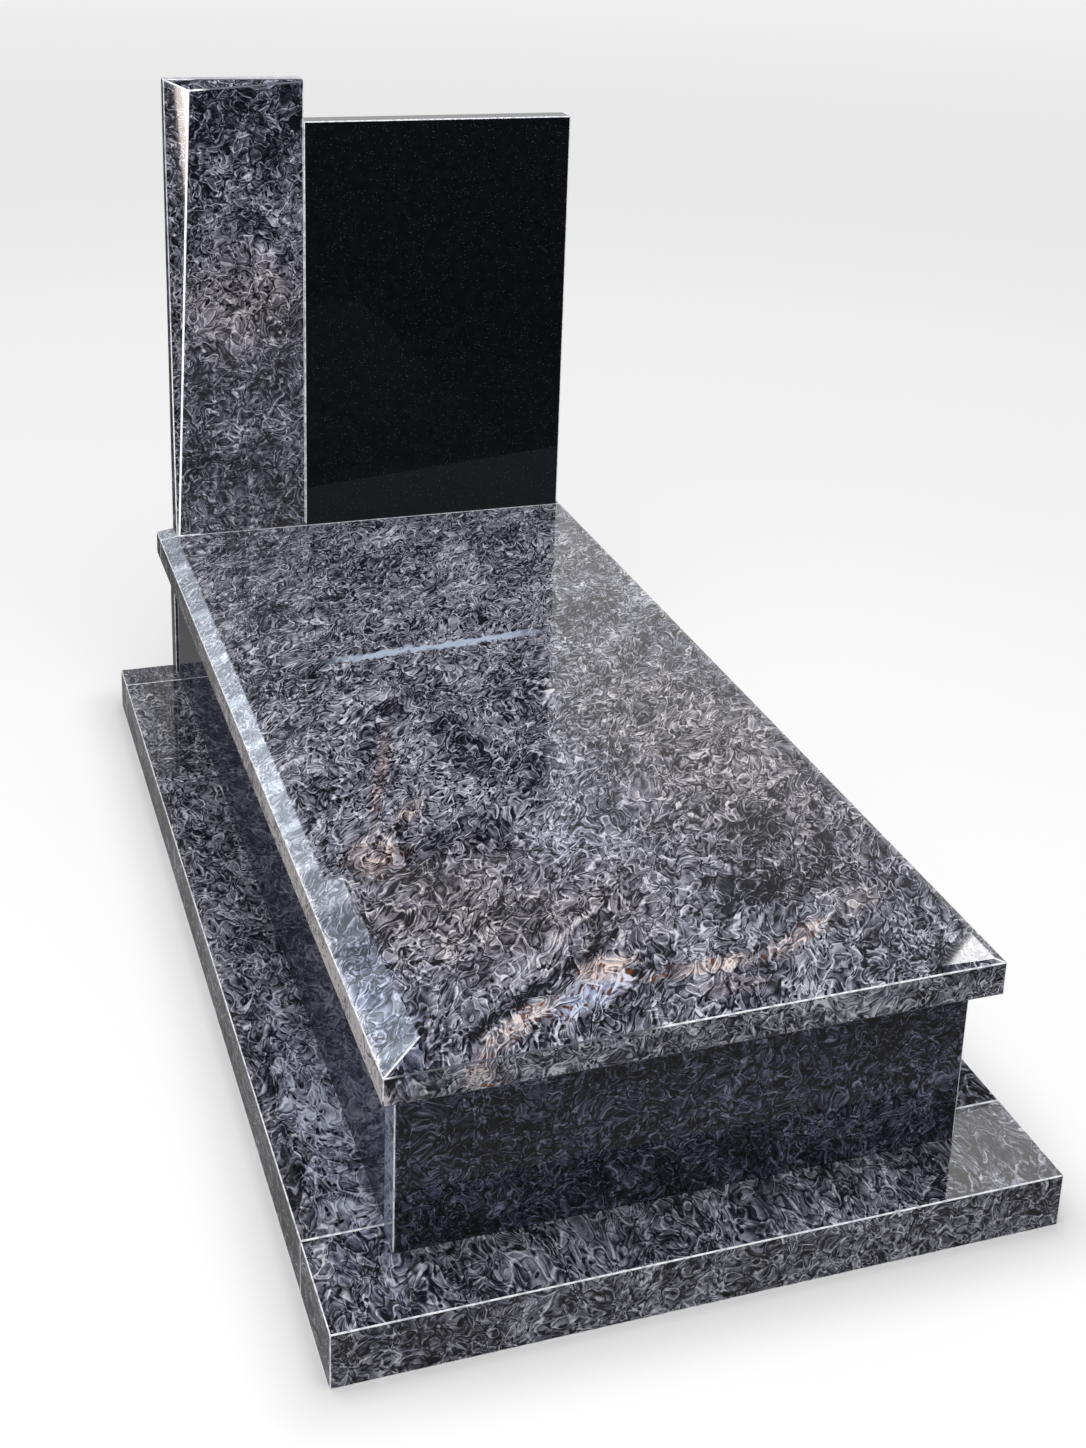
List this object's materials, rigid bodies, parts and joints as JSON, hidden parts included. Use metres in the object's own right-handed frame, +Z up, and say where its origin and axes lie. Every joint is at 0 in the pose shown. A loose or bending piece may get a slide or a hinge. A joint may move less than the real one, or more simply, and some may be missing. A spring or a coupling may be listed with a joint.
{
  "type": "granite headstone with grave cover",
  "caption": "Polished granite grave monument: kerb, hollow box, bevelled cover slab, and a headstone of a tall blue granite column beside a black stele.",
  "frame": {"origin": "on the ground, under the middle of the kerb", "axes": "+Z up; +Y from the foot of the grave to the headstone; +X to the right for someone who stands at the foot and faces the headstone"},
  "size_m": [1, 1.9, 1.28],
  "materials": {
    "blue_granite": "polished, swirled blue-grey grain with dark curls and a few rust patches",
    "black_granite": "polished, near black with fine grey specks"
  },
  "bodies": {
    "root": {"kerb_front": "blue_granite", "kerb_back": "blue_granite", "kerb_left": "blue_granite", "kerb_right": "blue_granite", "box_front": "blue_granite", "box_back": "blue_granite", "box_left": "blue_granite", "box_right": "blue_granite", "cover_slab": "blue_granite", "headstone_base": "blue_granite", "column": "blue_granite", "stele": "black_granite"}
  },
  "joints": []
}
